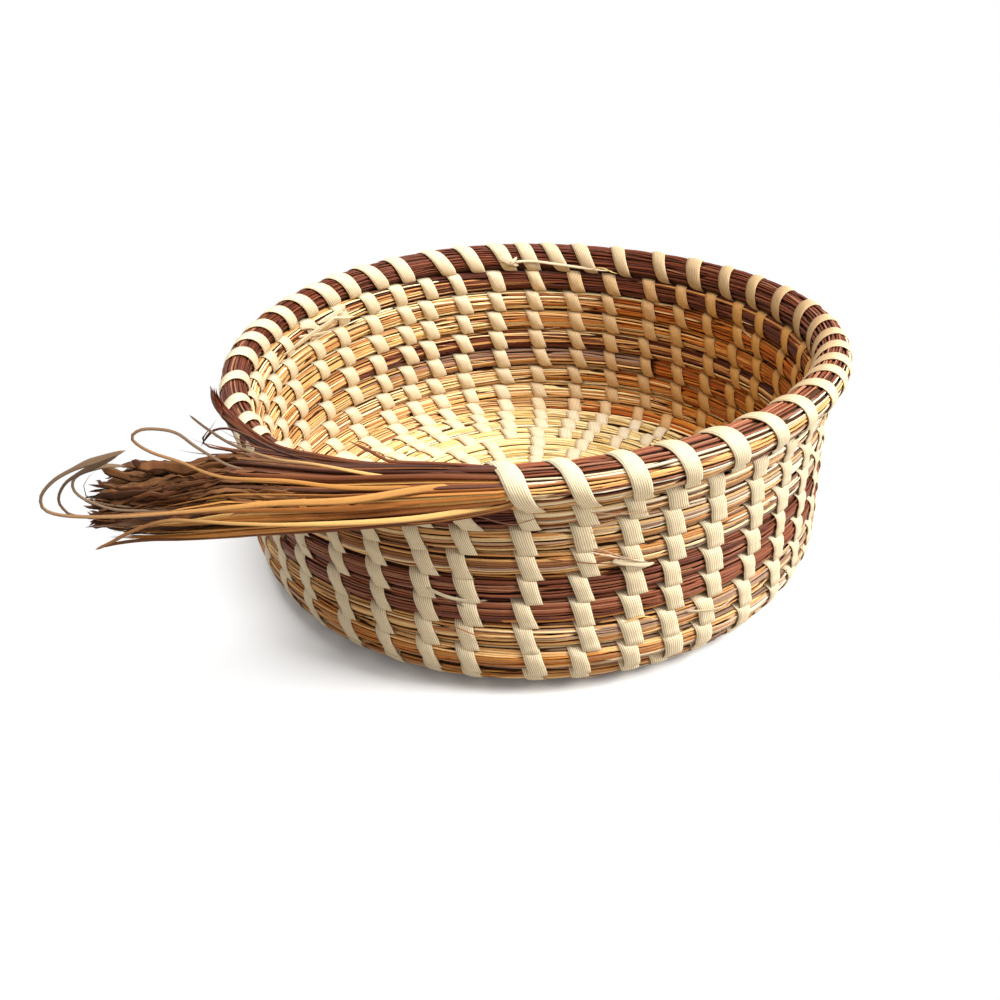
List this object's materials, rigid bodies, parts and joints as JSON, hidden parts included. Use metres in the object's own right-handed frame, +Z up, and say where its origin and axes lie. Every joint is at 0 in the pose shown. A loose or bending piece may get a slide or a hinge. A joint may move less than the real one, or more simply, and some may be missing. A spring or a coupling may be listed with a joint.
{
  "type": "coiled basket",
  "caption": "Round open basket coiled from bundles of grass and pine needles bound with palmetto strip, its last bundle left loose as a fanned tail.",
  "frame": {"origin": "centre of the flat underside, on the coil's axis, in the plane that the basket stands on", "axes": "+Z up through the mouth; -Y through the end of the worked coil; -X the way the loose tail points"},
  "size_m": [0.2013, 0.1957, 0.0929],
  "materials": {
    "sweetgrass": "dry grass stems, golden to orange-brown, satin",
    "pine_needles": "dark mahogany needles, slightly glossy",
    "palmetto_strip": "pale straw leaf strip with fine lengthwise ribs"
  },
  "bodies": {
    "root": {"start_knot": "sweetgrass", "base_coil": "sweetgrass", "lower_wall_coil": "sweetgrass", "band_coil": "pine_needles", "upper_wall_coil": "sweetgrass", "rim_coil": "pine_needles", "rim_binding_strip": "palmetto_strip", "tail_needles": "pine_needles", "tail_grass": "sweetgrass", "outer_hook_blade": "sweetgrass", "middle_hook_blade": "sweetgrass", "inner_hook_blade": "sweetgrass", "loop_blade": "sweetgrass", "lower_blade": "sweetgrass", "drooping_blade": "sweetgrass", "crossing_blade": "sweetgrass", "kinked_needle": "pine_needles", "rim_needle": "pine_needles"}
  },
  "joints": []
}
